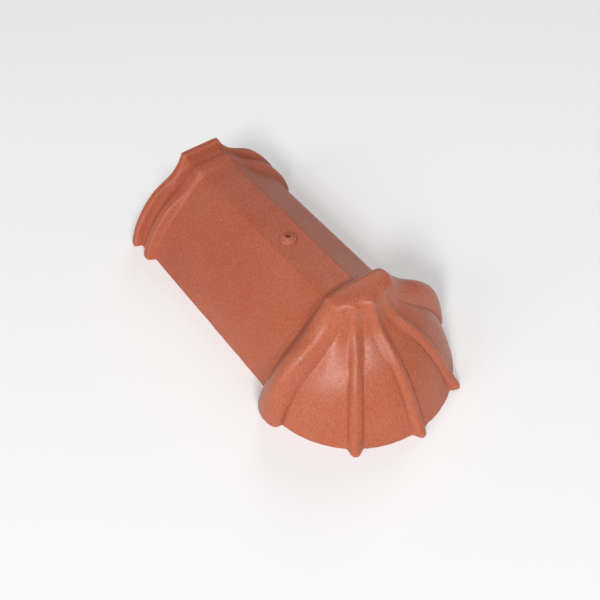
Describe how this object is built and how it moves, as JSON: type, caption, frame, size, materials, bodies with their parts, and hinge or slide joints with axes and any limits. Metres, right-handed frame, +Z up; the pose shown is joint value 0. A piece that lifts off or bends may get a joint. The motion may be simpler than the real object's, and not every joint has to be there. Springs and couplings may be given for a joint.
{
  "type": "ridge end tile",
  "caption": "Hollow fired-clay ridge end tile with a moulded collar at one end, a nail boss on top and a ribbed shell behind a thick roll closing the other end.",
  "frame": {"origin": "centre of the bounding box on the ground, under the tile, with its lower edges at z = 0", "axes": "+Z up; the ridge runs along Y, with the collar towards +Y and the ribbed shell towards -Y; X across, the tile is symmetric about x = 0"},
  "size_m": [0.2606, 0.45, 0.136],
  "materials": {
    "fired_clay": "satin terracotta slip"
  },
  "bodies": {
    "root": {"ridge_end_tile": "fired_clay"}
  },
  "joints": []
}
